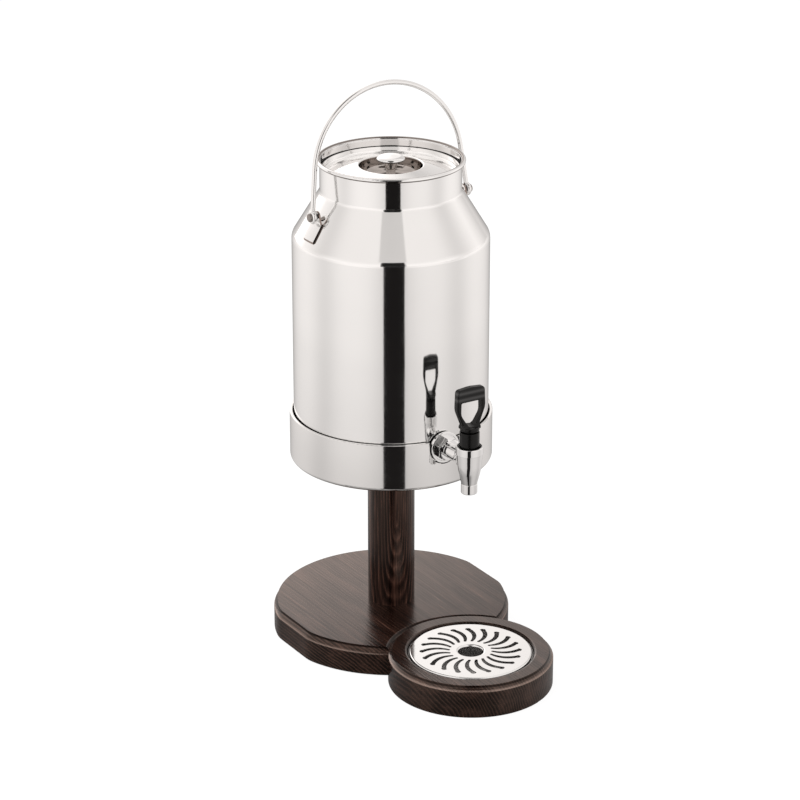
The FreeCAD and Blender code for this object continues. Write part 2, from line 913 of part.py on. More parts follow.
def make_tap_body():
    """Upright body with its spout and, behind, the stub that takes the shank's spigot."""
    body = turned([
        (0, spout_mouth_z),
        (spout_radius, spout_mouth_z, spout_lip_round),
        (spout_radius, spout_top_z, tap_step_round),
        (body_low_radius, spout_top_z),
        (body_waist_radius, spout_top_z + body_waist_rise, body_waist_round),
        (body_top_radius, collar_z),
        (collar_radius, collar_z, tap_step_round),
        (collar_radius, collar_top_z, tap_edge_round),
        (0, collar_top_z),
    ])
    body.translate(TAP_ORIGIN)
    root = tap_reach - body_top_radius + stub_root_length / 2
    stub = turned_forward([
        (0, hex_face),
        (stub_radius, hex_face, tap_edge_round),
        (stub_radius, root - stub_root_length, stub_root_length),
        (stub_root_radius, root),
        (stub_root_radius, tap_reach),
        (0, tap_reach),
    ])
    body = body.fuse(stub)
    inside = turned([
        (0, spout_mouth_z),
        (spout_bore, spout_mouth_z),
        (spout_bore, seat_z),
        (chamber_radius, seat_z),
        (chamber_radius, collar_floor_z - bonnet_thread_length),
        (thread_radius, collar_floor_z - bonnet_thread_length),
        (thread_radius, collar_floor_z),
        (collar_radius - collar_wall, collar_floor_z),
        (collar_radius - collar_wall, collar_top_z),
        (0, collar_top_z),
    ])
    inside.translate(TAP_ORIGIN)
    socket_end = hex_face + spigot_length + touch_gap
    socket = bar_forward(spigot_radius + touch_gap / 2, hex_face, socket_end)
    inlet = bar_forward(shank_bore, hex_face, tap_reach)
    return body.cut([inside, socket, inlet]).removeSplitter()


def make_tap_bonnet():
    low = collar_floor_z - bonnet_thread_length + touch_gap
    outline = [
        (spring_pocket_radius, low),
        (thread_radius - touch_gap / 2, low),
        (thread_radius - touch_gap / 2, collar_floor_z),
        (bonnet_flange_radius, collar_floor_z),
        (bonnet_flange_radius, collar_floor_z + bonnet_flange_thick),
        (bonnet_radius, collar_floor_z + bonnet_flange_thick, tap_edge_round),
        (bonnet_radius, bonnet_top, tap_edge_round),
        (stem_radius + running_gap, bonnet_top),
        (stem_radius + running_gap, spring_top),
        (spring_pocket_radius, spring_top),
    ]
    bonnet = turned(outline)
    bonnet.translate(TAP_ORIGIN)
    return bonnet


def stem_top():
    return lever_foot_z + lever_slot_height - stem_top_gap


def make_tap_stem():
    cap_low = seat_z + plug_height
    outline = [
        (0, seat_z + plug_height - stem_in_plug),
        (stem_radius, seat_z + plug_height - stem_in_plug),
        (stem_radius, cap_low),
        (plug_cap_radius, cap_low),
        (plug_cap_radius, cap_low + plug_cap_thick),
        (stem_radius, cap_low + plug_cap_thick),
        (stem_radius, stem_top(), stem_top_round),
        (0, stem_top()),
    ]
    stem = turned(outline)
    stem.translate(TAP_ORIGIN)
    return stem.cut(lever_pin_bar(lever_pin_radius + running_gap, stem_radius * 2))


def make_seat_plug():
    outline = [
        (0, seat_z),
        (plug_radius, seat_z),
        (plug_radius, seat_z + plug_rim_height, plug_rim_round),
        (plug_cap_radius, seat_z + plug_height),
        (stem_radius, seat_z + plug_height),
        (stem_radius, seat_z + plug_height - stem_in_plug),
        (0, seat_z + plug_height - stem_in_plug),
    ]
    plug = turned(outline)
    plug.translate(TAP_ORIGIN)
    return plug


def make_tap_spring():
    """Closed-in valve spring, as a ribbed sleeve of rings on a thin core."""
    low = seat_z + plug_height + plug_cap_thick
    length = spring_top - low
    pitch = length / spring_turns
    inner = spring_radius - spring_wire / 2
    outer = spring_radius + spring_wire / 2
    waist = spring_radius + spring_wire / 8
    outline = [(inner, low), (outer, low)]
    for turn in range(spring_turns):
        if turn > 0:
            outline.append((outer, low + turn * pitch))
        outline.append((waist, low + (turn + 0.5) * pitch))
    outline += [(outer, spring_top), (inner, spring_top)]
    spring = turned(outline)
    spring.translate(TAP_ORIGIN)
    return spring


def lever_pin_bar(radius, length):
    start = FreeCAD.Vector(-length / 2, -tap_reach, lever_pin_z)
    return Part.makeCylinder(radius, length, start, X_AXIS)


def make_lever_pin():
    return lever_pin_bar(lever_pin_radius, lever_pin_length)


def side_rims(grip, thick):
    """Edges that lie on the grip's front and back."""
    return [edge for edge in grip.Edges if abs(abs(edge.CenterOfMass.y) - thick) < same_point]


def make_tap_lever():
    """Loop lever: a round foot that rocks on the bonnet, a neck and a D-shaped grip."""
    foot_top = lever_foot_z + lever_foot_height
    top = lever_foot_z + lever_height
    foot = turned([
        (0, lever_foot_z),
        (lever_foot_radius, lever_foot_z, lever_toe_round),
        (lever_foot_radius, foot_top, lever_foot_brow),
        (0, foot_top),
    ])
    half = lever_width / 2
    neck = lever_neck_width / 2
    neck_foot = foot_top - lever_neck_sink
    flare_z = lever_foot_z + lever_flare_rise
    side_z = lever_foot_z + lever_side_rise
    shoulder = half - lever_taper
    front = rounded_face([
        (-neck, neck_foot),
        (neck, neck_foot),
        (neck, flare_z, lever_flare_round),
        (half, side_z, lever_side_round),
        (shoulder, top - lever_arch, lever_shoulder_round),
        (0, top, lever_crown_round),
        (-shoulder, top - lever_arch, lever_shoulder_round),
        (-half, side_z, lever_side_round),
        (-neck, flare_z, lever_flare_round),
    ])
    hole_half = half - lever_side_bar
    hole_low = lever_foot_z + lever_hole_rise
    hole_side = hole_low + hole_side_rise
    hole_top = top - lever_top_bar
    hole = rounded_face([
        (hole_foot_half, hole_low, hole_foot_round),
        (hole_half, hole_side, hole_side_round),
        (hole_half - hole_taper, hole_top, hole_corner_round),
        (-hole_half + hole_taper, hole_top, hole_corner_round),
        (-hole_half, hole_side, hole_side_round),
        (-hole_foot_half, hole_low, hole_foot_round),
    ]).extrude(Y_AXIS * 2 * lever_foot_radius)
    hole.translate(FRONT * lever_foot_radius)
    thick = lever_depth / 2
    grip = front.extrude(Y_AXIS * lever_depth)
    grip.translate(FRONT * thick)
    outer = [edge for edge in side_rims(grip, thick) if edge.CenterOfMass.z > neck_foot + same_point]
    grip = grip.makeFillet(lever_edge_round, outer).cut(hole)
    rims = side_rims(grip, thick)
    inner = [edge for edge in rims if hole.isInside(edge.Vertexes[0].Point, on_face, True)]
    grip = grip.makeFillet(hole_edge_round, inner)
    deep = lever_neck_depth / 2
    tip = thick - lever_edge_round
    waist_z = foot_top + lever_waist_rise
    side = rounded_face([
        (-deep, neck_foot),
        (deep, neck_foot),
        (deep, foot_top, lever_waist_foot),
        (tip, waist_z),
        (-tip, waist_z),
        (-deep, foot_top, lever_waist_foot),
    ], lambda u, v: FreeCAD.Vector(0, u, v))
    root = side.extrude(X_AXIS * lever_neck_width)
    root.translate(X_AXIS * -neck)
    lever = foot.fuse([grip, root.cut(hole)]).removeSplitter()
    lever.translate(TAP_ORIGIN)
    slot_top = lever_foot_z + lever_slot_height
    slot = centred_box(lever_slot_width, lever_slot_length, lever_foot_z, slot_top, TAP_ORIGIN)
    return lever.cut([slot, lever_pin_bar(lever_pin_radius, lever_pin_length)])


# Drip tray

def make_drip_dish():
    reach = recess_radius - slide_gap
    lip = tray_thick - dish_lip_drop
    step = recess_floor_z + dish_step_rise
    sheet = dish_sheet
    outline = [
        (0, recess_floor_z),
        (dish_floor_radius, recess_floor_z, dish_floor_bend + sheet),
        (dish_step_radius + sheet, step - sheet, dish_step_bend),
        (reach, step - sheet, dish_step_bend + sheet),
        (reach, lip, dish_lip_round),
        (reach - sheet, lip, dish_lip_round),
        (reach - sheet, step, dish_step_bend),
        (dish_step_radius, step, dish_step_bend + sheet),
        (dish_floor_radius - sheet, recess_floor_z + sheet, dish_floor_bend),
        (0, recess_floor_z + sheet),
    ]
    dish = turned(outline)
    dish.translate(TRAY_ORIGIN)
    return dish


def slot_point(radius, angle, side, width):
    """Point at half a width to one side of the slot's middle line."""
    turn = angle + side * width / 2 / radius
    return on_xy(radius * math.cos(turn), radius * math.sin(turn))


def make_grille_slot(low, high):
    """One comma-shaped slot, wider outside, on the +X side of the grille."""
    sway = math.radians(slot_sway)
    hook = math.radians(slot_hook)
    middle = (slot_in + slot_out) / 2
    mid_width = (slot_in_width + slot_out_width) / 2
    inner = [slot_point(slot_in, 0, side, slot_in_width) for side in (-1, 1)]
    mid = [slot_point(middle, sway, side, mid_width) for side in (-1, 1)]
    outer = [slot_point(slot_out, hook, side, slot_out_width) for side in (-1, 1)]
    inner_tip = slot_point(slot_in - slot_in_width / 2, 0, 0, 0)
    outer_tip = slot_point(slot_out + slot_out_width / 2, hook, 0, 0)
    edges = [
        Part.Arc(inner[0], mid[0], outer[0]).toShape(),
        Part.Arc(outer[0], outer_tip, outer[1]).toShape(),
        Part.Arc(outer[1], mid[1], inner[1]).toShape(),
        Part.Arc(inner[1], inner_tip, inner[0]).toShape(),
    ]
    slot = Part.Face(Part.Wire(edges)).extrude(Z_AXIS * (high - low))
    slot.translate(Z_AXIS * low)
    return slot


def make_drip_grille():
    top = tray_thick - grille_drop
    sheet = grille_sheet
    step = recess_floor_z + dish_step_rise
    outline = [
        (grille_hole_radius, top - grille_hole_flange),
        (grille_hole_radius + sheet, top - grille_hole_flange),
        (grille_hole_radius + sheet, top - sheet, grille_hole_bend),
        (grille_radius - sheet, top - sheet, grille_edge_bend),
        (grille_radius - sheet, step),
        (grille_radius, step),
        (grille_radius, top, grille_edge_bend + sheet),
        (grille_hole_radius, top, grille_hole_bend + sheet),
    ]
    grille = turned(outline)
    slots = []
    for i in range(slot_count):
        slot = make_grille_slot(top - sheet, top)
        slot.rotate(ORIGIN, Z_AXIS, 360.0 * i / slot_count)
        slots.append(slot)
    grille = grille.cut(slots)
    grille.translate(TRAY_ORIGIN)
    return grille


def main():
    ear = make_bail_ear()
    pin = make_bail_pin()
    pieces = {
        "base_board": make_base_board(),
        "tray_board": make_tray_board(),
        "joining_plate": make_joining_plate(),
        "joining_screws": make_joining_screws(),
        "column": make_column(),
        "column_tie_rod": make_tie_rod(),
        "tie_rod_nuts": make_rod_nuts(),
        "tie_rod_washer": make_rod_washer(),
        "cup_clamp_plate": make_clamp_plate(),
        "holder_cup": make_holder_cup(),
        "can_shell": make_can_shell(),
        "can_bottom": make_can_bottom(),
        "bail_ear_left": mirrored(ear),
        "bail_ear_right": ear,
        "bail_pin_left": mirrored(pin),
        "bail_pin_right": pin,
        "bail_handle": make_bail(),
        "lid_pan": make_lid_pan(),
        "lid_seal": make_lid_seal(),
        "lid_knob": make_lid_knob(),
        "lid_knob_screw": make_knob_screw(),
        "lid_knob_washer": make_knob_washer(),
        "tap_flange": make_tap_flange(),
        "tap_outer_washer": make_outer_washer(),
        "tap_shank": make_tap_shank(),
        "tap_inner_washer": make_inner_washer(),
        "tap_lock_nut": make_lock_nut(),
        "tap_body": make_tap_body(),
        "tap_bonnet": make_tap_bonnet(),
        "tap_spring": make_tap_spring(),
        "tap_stem": make_tap_stem(),
        "tap_seat_plug": make_seat_plug(),
        "tap_lever": make_tap_lever(),
        "tap_lever_pin": make_lever_pin(),
        "drip_dish": make_drip_dish(),
        "drip_grille": make_drip_grille(),
    }
    os.makedirs("parts", exist_ok=True)
    for name, shape in pieces.items():
        shape.exportStep("parts/" + name + ".step")
        sizes = [solid.Volume for solid in shape.Solids]
        verdict = "valid" if shape.isValid() else "INVALID"
        print(name, len(sizes), "solid(s)", round(sum(sizes)), "mm3", verdict)


main()
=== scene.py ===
import math
from collections import namedtuple

import bpy
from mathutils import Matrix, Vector


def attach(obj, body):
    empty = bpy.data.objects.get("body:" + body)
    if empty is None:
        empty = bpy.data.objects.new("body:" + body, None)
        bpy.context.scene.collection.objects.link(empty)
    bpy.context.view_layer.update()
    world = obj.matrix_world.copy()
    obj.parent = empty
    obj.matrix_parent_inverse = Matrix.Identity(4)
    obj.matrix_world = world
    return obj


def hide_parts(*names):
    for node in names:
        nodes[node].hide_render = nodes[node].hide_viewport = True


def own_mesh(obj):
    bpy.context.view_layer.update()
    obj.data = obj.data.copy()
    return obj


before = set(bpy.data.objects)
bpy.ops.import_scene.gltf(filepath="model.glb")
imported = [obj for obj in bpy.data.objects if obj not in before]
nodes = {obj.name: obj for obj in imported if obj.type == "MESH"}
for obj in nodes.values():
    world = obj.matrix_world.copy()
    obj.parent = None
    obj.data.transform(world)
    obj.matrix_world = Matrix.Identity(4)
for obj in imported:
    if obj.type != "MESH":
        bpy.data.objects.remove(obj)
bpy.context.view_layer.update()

# Camera
CAMERA_PLACE = (-1.498847, -2.462158, 1.395234)
CAMERA_TURN = (68.407, 0.0, -31.514)
CAMERA_LENS = 135.73
CAMERA_REACH = 200.0
SENSOR = 36.0

# Directions: along the floor towards the camera and to its right, and up
STUDIO_TURN = math.radians(31.3)
TO_CAMERA = Vector((-math.sin(STUDIO_TURN), -math.cos(STUDIO_TURN), 0.0))
TO_RIGHT = Vector((math.cos(STUDIO_TURN), -math.sin(STUDIO_TURN), 0.0))
UP = Vector((0.0, 0.0, 1.0))

# Lamps
LAMP_TARGET = Vector((0.0, 0.0, 0.25))
WHITE = (1.0, 1.0, 1.0, 1.0)
LIGHT_TINT = (1.0, 0.957, 0.932, 1.0)

# White tent: angles are in degrees from the camera to its right, heights are the Z of a direction
WORLD_LOW = 0.30
WORLD_HIGH = 0.92
TENT_LEVEL = 1.06
TENT_SIDES = 92.0
SIDE_WIDTH = 18.0
SIDE_LOSS = 0.21
HORIZON = 0.05
HORIZON_WIDTH = 0.28
HORIZON_GAIN = 0.16
BEHIND_FROM = -0.5
BEHIND_FULL = -0.8
SLOPE_HALF = 0.14
SLOPE_GAIN = 0.42
BACKDROP_HEIGHTS = (0.14, 0.52)
BACKDROP_SOFT = 0.08
BACKDROP_GAIN = 0.10
EDGE_SOFT = 0.7
WINDOW_ANGLES = (-16.0, 20.5)
WINDOW_HEIGHTS = (0.57, 0.80)
WINDOW_SOFT = 0.01
WINDOW_LOSS = 0.30
DARK_ANGLES = (-11.5, 17.0)
DARK_TOP = (0.55, 0.57)
DARK_LOSS = 0.985
CEILING_TILT = math.radians(66.0)
CEILING_TOWARDS = tuple(TO_CAMERA * math.cos(CEILING_TILT) + UP * math.sin(CEILING_TILT))
CEILING_EDGE = (0.935, 0.962)
CEILING_LEFT = 0.10

# Floor, a hair above the undersides of the boards so that the two share no plane
FLOOR_HALF = 40.0
FLOOR_Z = 0.0002
FLOOR_TONE = 0.55
FLOOR_FLECK = 0.01
FLOOR_SHADE = 0.16
SHADE_LIT = 0.55
FLOOR_LEVEL = 1.02
FLOOR_SIDES = 80.0
# Painted shadow of the object on the floor as mirrors see it: level by distance, darker near the object
FALLOFF_REACH = 3.2
FALLOFF = ((0.15, 0.14), (0.28, 0.36), (0.37, 0.60), (0.56, 0.71), (0.72, 0.82), (0.90, 0.875),
           (1.05, 0.94), (1.6, 1.03), (3.2, 1.20))

# Painted shade on the floor as mirrors see it, in patches: angle, width, loss
FRONT_PATCH = (3.6, 22.0, 0.33)
RIGHT_PATCH = (48.0, 28.0, 0.05)
BACK_PATCH = (180.0, 33.0, 0.88)
TRAY_PATCH = (19.0, 13.0, 0.75)
TRAY_PATCH_ENDS = (0.10, 0.12)

# Flag on the floor
FLAG_EDGES = (-8.6, 15.8)
FLAG_FROM = 0.20
FLAG_TO = 30.0
FLAG_LIFT = 0.002
FLAG_CLOTH = ((0.010, 0.009, 0.009, 1.0), (0.016, 0.015, 0.015, 1.0))
CAN_RADIUS = 0.100

# Painted shade on the steel: darker rings about the can's axis, under and on the can's rim bead, inside
# its neck, in the lid's bowl and on the knob
Zone = namedtuple("Zone", "near far low high colour")
FAR = 1.0
ZONE_SOFT = 0.0003
RIM_Z = 0.5123
RECESS_Z = RIM_Z - 0.0048
CAP_Z = RECESS_Z + 0.0030
# Painted shade on the can: a dark band under the rim bead, a darker top to the bead, and a darker inside
# of the neck
CAN_PAINTED_SHADE = (
    Zone(near=0.0718, far=FAR, low=RIM_Z - 0.0028, high=RIM_Z - 0.0005, colour=(0.180, 0.155, 0.140)),
    Zone(near=-FAR, far=0.0732, low=RIM_Z + 0.0009, high=FAR, colour=(0.230, 0.205, 0.190)),
    Zone(near=-FAR, far=0.0709, low=RIM_Z - 0.0300, high=RIM_Z - 0.0010, colour=(0.740, 0.725, 0.715)),
)
# Painted shade in the lid's recessed bowl, below the recess's top
LID_PAINTED_SHADE = (Zone(near=-FAR, far=0.0321, low=-FAR, high=RECESS_Z, colour=(0.430, 0.395, 0.372)),)
# Painted shade on the knob: its stem darker, and a darker band under the cap
KNOB_PAINTED_SHADE = (
    Zone(near=-FAR, far=FAR, low=-FAR, high=CAP_Z, colour=(0.640, 0.620, 0.605)),
    Zone(near=-FAR, far=FAR, low=CAP_Z, high=RECESS_Z + 0.0056, colour=(0.260, 0.248, 0.240)),
)

# Polished steel
POLISH_SHARE = 0.6
SMUDGE_SHARE = 0.4
SMUDGE_SHADE = 0.955
POLISH_BUMP = 0.025
FINE_STEP = 0.0002
WAVE_STEP = 0.01

# Sideways and upward parts of the direction that a bail ear's strap faces
STRAP_FACE = (0.8535, 0.521)
STRAP_SHADE = 0.94

# Heights of the two bands of painted highlight across the lever's top bar, made with more gloss
LEVER_HIGHLIGHT_BANDS = (0.3142, 0.3076)
HIGHLIGHT_BAND_WIDTH = 0.0016

# Stained wood, from its dark lines to its light ones
WOOD_SHADES = (
    (0.00, (0.0015, 0.0006, 0.0005)),
    (0.30, (0.0048, 0.0020, 0.0016)),
    (0.52, (0.0160, 0.0070, 0.0052)),
    (0.76, (0.0520, 0.0240, 0.0172)),
    (1.00, (0.1350, 0.0660, 0.0470)),
)
ARRIS_HIGHLIGHT = (0.135, 0.096, 0.083, 1.0)
COVE_SHADE_COLOUR = (0.0020, 0.0010, 0.0008, 1.0)
WARM_SHINE = (1.0, 0.76, 0.65, 1.0)

# Growth rings: the tone across one ring, the rings' spacing and drift, and the stretch of the grain
RING_TONES = ((0.00, 0.20), (0.14, 0.00), (0.42, 0.45), (0.74, 1.00), (1.00, 0.20))
JAG_BY = 0.0014
SOFT_STRETCH = 0.15
BOARD_GRAIN = (1.0, 0.03, 1.0)
BOARD_RING = 0.0030
BOARD_DRIFT = 0.010
SIDE_RING_SHARE = 0.85
TOP_RING_SHARE = 0.60
COLUMN_GRAIN = (1.0, 1.0, 0.03)
COLUMN_RING = 0.0027
COLUMN_DRIFT = 0.005
COLUMN_RING_SHARE = 0.62

# Arched figure in the front of the column
FIGURE_ACROSS = (0.954, -0.298, 0.0)
FIGURE_TOP = 0.135
FIGURE_TAPER = 0.16

# Edges of the boards: painted shade, a dark dull band just under the top edge, and a painted highlight, a
# light shiny line along the arris
COVE_SHADE_FROM = 0.0024
COVE_SHADE_TO = 0.0004
COVE_SHADE_SOFT = 0.0003
COVE_SHADE_COVER = 0.70
COVE_SHADE_DULL = 0.7
ARRIS_WIDTH = 0.0008
ARRIS_COVER = 0.24
ARRIS_SHINE = 2.6
# Half the depth over which the painted front shade changes the shine
FRONT_SHADE_HALF = 0.12

# Coil of the valve spring
TAP_AXIS = Vector((0.0, -0.149, 0.0))
SPRING_ENDS = (0.2356, 0.2585)
SPRING_RADIUS = 0.0046
SPRING_TURNS = 7
TURN_STEPS = 24
WIRE_RADIUS = 0.0004
WIRE_SIDES = 8


# Node trees

def grey(level):
    return (level, level, level, 1.0)


def toned(colour, by=1.0, lift=0.0):
    """A colour with alpha, made lighter or darker."""
    return (*(part * by + lift for part in colour), 1.0)


def socket(node, name):
    for found in node.inputs:
        if found.name == name and found.enabled:
            return found
    raise KeyError(name)


class Maker:
    """Adds nodes to a node tree. Inputs are numbers, colours or sockets."""

    def __init__(self, tree):
        self.tree = tree
        tree.nodes.clear()

    def feed(self, target, value):
        if isinstance(value, bpy.types.NodeSocket):
            self.tree.links.new(value, target)
        else:
            target.default_value = value

    def put(self, node, name, value):
        self.feed(socket(node, name), value)

    def add(self, kind, **inputs):
        node = self.tree.nodes.new(kind)
        for name, value in inputs.items():
            self.put(node, name, value)
        return node

    def math(self, operation, first, second=0.0):
        node = self.tree.nodes.new("ShaderNodeMath")
        node.operation = operation
        self.feed(node.inputs[0], first)
        self.feed(node.inputs[1], second)
        return node.outputs[0]

    def plus(self, first, *others):
        for other in others:
            first = self.math("ADD", first, other)
        return first

    def minus(self, first, second):
        return self.math("SUBTRACT", first, second)

    def times(self, first, *others):
        for other in others:
            first = self.math("MULTIPLY", first, other)
        return first

    def vector(self, operation, first, second=(0.0, 0.0, 0.0)):
        node = self.tree.nodes.new("ShaderNodeVectorMath")
        node.operation = operation
        self.feed(node.inputs[0], first)
        self.feed(node.inputs[1], second)
        return node.outputs["Value" if operation in ("DOT_PRODUCT", "LENGTH") else "Vector"]

    def parts(self, coords):
        return self.add("ShaderNodeSeparateXYZ", Vector=coords).outputs

    def bell(self, value, middle, width):
        """Bell curve of a socket: 1 in the middle, 0 far away."""
        shifted = self.math("DIVIDE", self.minus(value, middle), width)
        return self.math("EXPONENT", self.times(shifted, shifted, -1.0))

    def span(self, value, low, high, to_low, to_high):
        node = self.tree.nodes.new("ShaderNodeMapRange")
        for place, number in enumerate((value, low, high, to_low, to_high)):
            self.feed(node.inputs[place], number)
        return node.outputs[0]

    def spread(self, noise, to_low, to_high):
        """Span of the range where most of a noise lies."""
        return self.span(noise, 0.3, 0.7, to_low, to_high)

    def band(self, value, low, high, soft):
        """1 between two limits and 0 outside them, with soft edges."""
        rise = self.span(value, low - soft, low + soft, 0.0, 1.0)
        return self.times(rise, self.span(value, high - soft, high + soft, 1.0, 0.0))

    def noise(self, coords, scale, detail=3.0, rough=0.55, stretch=(1.0, 1.0, 1.0)):
        moved = self.vector("MULTIPLY", coords, stretch)
        node = self.add("ShaderNodeTexNoise", Vector=moved, Scale=scale, Detail=detail, Roughness=rough)
        return node.outputs[0]

    def ramp(self, value, stops, mode="LINEAR"):
        node = self.tree.nodes.new("ShaderNodeValToRGB")
        node.color_ramp.interpolation = mode
        elements = node.color_ramp.elements
        while len(elements) < len(stops):
            elements.new(0.5)
        for element, (place, colour) in zip(elements, stops):
            element.position = place
            element.color = colour
        self.feed(node.inputs[0], value)
        return node.outputs[0]

    def mix(self, amount, first, second, mode="MIX"):
        node = self.tree.nodes.new("ShaderNodeMix")
        node.data_type = "RGBA"
        node.blend_type = mode
        self.feed(node.inputs[0], amount)
        self.feed(node.inputs[6], first)
        self.feed(node.inputs[7], second)
        return node.outputs[2]

    def colour(self, red, green, blue):
        return self.add("ShaderNodeCombineColor", Red=red, Green=green, Blue=blue).outputs[0]

    def bump(self, height, strength, distance, normal=None):
        node = self.add("ShaderNodeBump", Height=height, Strength=strength, Distance=distance)
        if normal is not None:
            self.put(node, "Normal", normal)
        return node.outputs[0]

    def blend(self, amount, first, second):
        """Mix two shaders."""
        node = self.add("ShaderNodeMixShader", Fac=amount)
        self.feed(node.inputs[1], first.outputs[0])
        self.feed(node.inputs[2], second.outputs[0])
        return node


def new_material(name):
    material = bpy.data.materials.new(name)
    material.use_nodes = True
    make = Maker(material.node_tree)
    surface = make.add("ShaderNodeBsdfPrincipled")
    make.add("ShaderNodeOutputMaterial", Surface=surface.outputs[0])
    return material, make, surface


def object_coords(make):
    return make.add("ShaderNodeTexCoord").outputs["Object"]


def facing(make):
    return make.parts(make.add("ShaderNodeTexCoord").outputs["Normal"])


# Materials

def painted_shade_zone(make, coords, tint, zone):
    """Blend painted shade, a darker colour, into a ring about the object's axis."""
    out = make.vector("LENGTH", make.vector("MULTIPLY", coords, (1.0, 1.0, 0.0)))
    inside = make.times(make.band(out, zone.near, zone.far, ZONE_SOFT),
                        make.band(make.parts(coords)["Z"], zone.low, zone.high, ZONE_SOFT))
    return make.mix(inside, tint, toned(zone.colour))


def steel(name, colour, smooth, rough, wave=0.03, lines=(30.0, 30.0, 900.0), shade_zones=()):
    """Polished sheet or bar: faint polishing lines, soft smudges and a slight waviness."""
    material, make, surface = new_material(name)
    coords = object_coords(make)
    polish = make.noise(coords, scale=1.0, detail=4.0, rough=0.6, stretch=lines)
    smudge = make.noise(coords, scale=24.0, rough=0.5)
    mixed = make.plus(make.times(polish, POLISH_SHARE), make.times(smudge, SMUDGE_SHARE))
    make.put(surface, "Roughness", make.spread(mixed, smooth, rough))
    tint = make.mix(smudge, toned(colour, SMUDGE_SHADE), toned(colour))
    # Painted shade: blend darker colours into the given rings
    for zone in shade_zones:
        tint = painted_shade_zone(make, coords, tint, zone)
    make.put(surface, "Base Color", tint)
    make.put(surface, "Metallic", 1.0)
    hills = make.noise(coords, scale=9.0, detail=1.0, rough=0.4)
    rolled = make.bump(hills, strength=wave, distance=WAVE_STEP)
    make.put(surface, "Normal", make.bump(polish, POLISH_BUMP, FINE_STEP, rolled))
    return material


def strap(name, colour, edge):
    """Polished flat strip whose cut edges carry painted shade, a dark colour."""
    material, make, surface = new_material(name)
    grain = make.noise(object_coords(make), scale=500.0)
    normal = facing(make)
    aside = make.times(make.math("ABSOLUTE", normal["X"]), STRAP_FACE[0])
    towards = make.plus(aside, make.times(normal["Z"], STRAP_FACE[1]))
    flat = make.span(make.math("ABSOLUTE", towards), low=0.74, high=0.82, to_low=0.0, to_high=1.0)
    bright = make.mix(grain, toned(colour, STRAP_SHADE), toned(colour))
    # Painted shade: faces that are not face-on get the dark edge colour
    make.put(surface, "Base Color", make.mix(flat, toned(edge), bright))
    make.put(surface, "Roughness", make.spread(grain, 0.10, 0.18))
    make.put(surface, "Metallic", 1.0)
    make.put(surface, "Normal", make.bump(grain, strength=0.03, distance=FINE_STEP))
    return material


def plastic(name, colour, smooth, rough, gloss, highlight_gloss):
    """Moulded plastic with a fine grain, and painted highlight bands of more gloss across the lever's top
    bar.
    """
    material, make, surface = new_material(name)
    coords = object_coords(make)
    grain = make.noise(coords, scale=2600.0, detail=2.0)
    patch = make.noise(coords, scale=60.0)
    make.put(surface, "Roughness", make.spread(patch, smooth, rough))
    make.put(surface, "Base Color", make.mix(patch, toned(colour), toned(colour, by=1.5, lift=0.002)))
    height = make.parts(coords)["Z"]
    highlight_bands = make.plus(*(make.bell(height, band, HIGHLIGHT_BAND_WIDTH) for band in LEVER_HIGHLIGHT_BANDS))
    # Painted highlight: more gloss in two bands across the lever's top bar
    make.put(surface, "Specular IOR Level", make.span(highlight_bands, 0.0, 1.0, gloss, highlight_gloss))
    make.put(surface, "Normal", make.bump(grain, strength=0.12, distance=0.0001))
    return material


def rubber(name, colour):
    """Matt rubber with a faint bloom."""
    material, make, surface = new_material(name)
    coords = object_coords(make)
    grain = make.noise(coords, scale=1400.0)
    bloom = make.noise(coords, scale=90.0, detail=4.0)
    make.put(surface, "Base Color", make.mix(bloom, toned(colour), toned(colour, by=2.2)))
    make.put(surface, "Roughness", make.spread(grain, 0.62, 0.82))
    make.put(surface, "Normal", make.bump(grain, strength=0.2, distance=FINE_STEP))
    return material


def board_figure(make, part, heart):
    """Distance from a board's heart line, and the rings' share of the tone on its sides and top."""
    across = make.minus(part["X"], heart[0])
    above = make.minus(part["Z"], heart[1])
    distance = make.vector("LENGTH", make.add("ShaderNodeCombineXYZ", X=across, Y=above).outputs[0])
    upright = make.math("ABSOLUTE", facing(make)["Z"])
    return distance, make.span(upright, low=0.4, high=0.7, to_low=SIDE_RING_SHARE, to_high=TOP_RING_SHARE)


def column_figure(make, coords, part):
    """The same for the column, whose rings run out of its front in nested arches."""
    across = make.vector("DOT_PRODUCT", coords, FIGURE_ACROSS)
    below = make.math("MAXIMUM", make.minus(FIGURE_TOP, part["Z"]), 0.0)
    place = make.add("ShaderNodeCombineXYZ", X=across, Y=make.times(below, FIGURE_TAPER)).outputs[0]
    squared = make.vector("LENGTH", make.vector("MULTIPLY", place, place))
    return make.math("SQRT", squared), COLUMN_RING_SHARE


